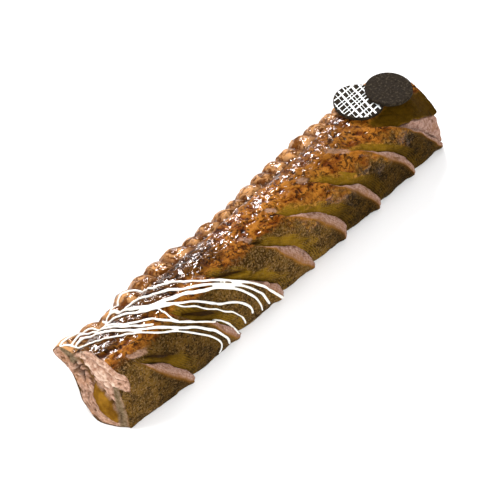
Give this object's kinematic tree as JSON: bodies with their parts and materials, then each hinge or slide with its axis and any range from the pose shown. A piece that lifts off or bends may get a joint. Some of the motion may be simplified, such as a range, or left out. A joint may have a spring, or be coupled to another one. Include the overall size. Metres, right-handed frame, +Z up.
{
  "type": "pain au chocolat",
  "caption": "Long folded laminated pastry with slanting slits down one flank, a crimped edge, chocolate filling, white drizzle and round chocolate plaques on top.",
  "frame": {"origin": "middle of the underside, at the centre of the bounding box's lowest plane", "axes": "+X along the pastry from the open near end to the rounded far end that carries the plaques, +Y towards the crimped edge, +Z up"},
  "size_m": [0.3052, 0.0608, 0.0493],
  "materials": {
    "baked_dough": "baked laminated dough, glossy egg-wash glaze on the ridge, matte torn crumb in the slits and on the open end",
    "chocolate_filling": "dark baked chocolate, slightly glossy",
    "white_chocolate": "set white chocolate, satin",
    "dark_chocolate": "dark chocolate with a fine cocoa bloom, satin rim"
  },
  "bodies": {
    "root": {"pastry": "baked_dough", "chocolate_filling_1": "chocolate_filling", "chocolate_filling_2": "chocolate_filling", "chocolate_filling_3": "chocolate_filling", "chocolate_filling_4": "chocolate_filling", "white_drizzle": "white_chocolate", "lattice_chocolate_disc": "dark_chocolate", "white_lattice_lines": "white_chocolate", "plain_chocolate_disc": "dark_chocolate"}
  },
  "joints": []
}
